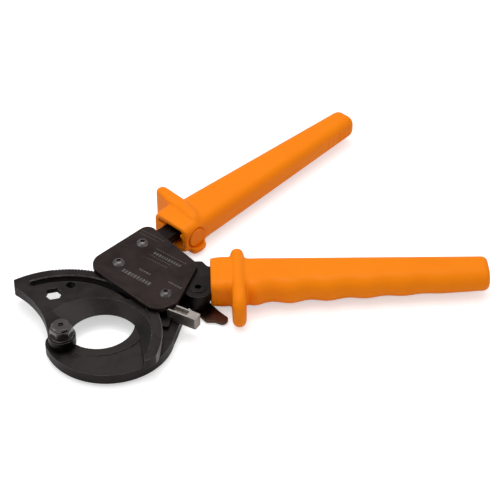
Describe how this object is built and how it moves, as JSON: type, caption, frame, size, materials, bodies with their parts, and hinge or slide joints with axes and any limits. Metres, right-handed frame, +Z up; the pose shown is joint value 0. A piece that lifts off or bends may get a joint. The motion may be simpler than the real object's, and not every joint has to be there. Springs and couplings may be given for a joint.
{
  "type": "ratchet cable cutter",
  "caption": "One-hand ratchet cable cutter with a hooked fixed jaw, a toothed swinging blade, a release lever and insulated grips with guards.",
  "frame": {"origin": "on the axis the blade turns on, on the plane the tool lies on (under the head of the pivot bolt)", "axes": "+X along the lower, moving handle towards its end; +Z up along the blade's axis, from the fixed jaw to the cover plate; +Y completes the frame, towards the upper handle"},
  "size_m": [0.3021, 0.2539, 0.0254],
  "materials": {
    "black_steel": "black-oxide forging, satin",
    "plate_steel": "black-oxide plate, satin",
    "blade_steel": "black-oxide tool steel, ground edges",
    "lever_steel": "dark pressed steel",
    "dark_steel": "black fasteners, semi-gloss",
    "bright_steel": "zinc-plated, satin",
    "spring_steel": "oiled spring wire",
    "bronze": "plain bearing bronze",
    "grip": "orange insulating dip, satin",
    "cap": "orange insulating plug, satin"
  },
  "bodies": {
    "frame": {"fixed_jaw": "black_steel", "cover_plate": "plate_steel", "cover_screws": "dark_steel", "pivot_bolt": "dark_steel", "pivot_washer": "dark_steel", "pivot_nut": "dark_steel", "lock_screw": "dark_steel", "fixed_arm": "plate_steel", "fixed_grip": "grip", "grip_cap": "cap", "hub_pin": "dark_steel", "hub_ring": "dark_steel", "hold_bush": "bronze", "handle_spring": "spring_steel", "holding_pawl_spring": "spring_steel"},
    "blade": {"moving_blade": "blade_steel", "blade_bush": "bronze"},
    "moving_handle": {"handle_tang": "blade_steel", "moving_grip": "grip", "hub_bush": "bronze", "drive_pawl_pin": "dark_steel", "drive_pawl_spring": "spring_steel"},
    "drive_pawl": {"drive_pawl": "blade_steel"},
    "release": {"holding_pawl": "blade_steel", "release_lever": "bright_steel", "release_rivets": "bright_steel"},
    "lock_lever": {"lock_lever": "lever_steel"}
  },
  "joints": [
    {"name": "blade_pivot", "type": "hinge", "parent": "frame", "child": "blade", "pos_m": [0, 0, 0], "axis": [0, 0, 1], "range_deg": [-60, 100]},
    {"name": "handle_pivot", "type": "hinge", "parent": "frame", "child": "moving_handle", "pos_m": [0.084, 0.0404, 0], "axis": [0, 0, 1], "range_deg": [0, 24], "stiffness_Nm_per_rad": 0.3, "springref_deg": -28.65},
    {"name": "drive_pawl_pivot", "type": "hinge", "parent": "moving_handle", "child": "drive_pawl", "pos_m": [0.05802, 0.0554, 0], "axis": [0, 0, 1], "range_deg": [0, 5], "stiffness_Nm_per_rad": 0.01, "springref_deg": -17.19},
    {"name": "release_pivot", "type": "hinge", "parent": "frame", "child": "release", "pos_m": [0.0638, 0.0319, 0], "axis": [0, 0, 1], "range_deg": [0, 12], "stiffness_Nm_per_rad": 0.02, "springref_deg": -17.19},
    {"name": "lock_lever_pivot", "type": "hinge", "parent": "frame", "child": "lock_lever", "pos_m": [0.084, 0.0404, 0], "axis": [0, 0, 1], "range_deg": [-22, 0]}
  ]
}
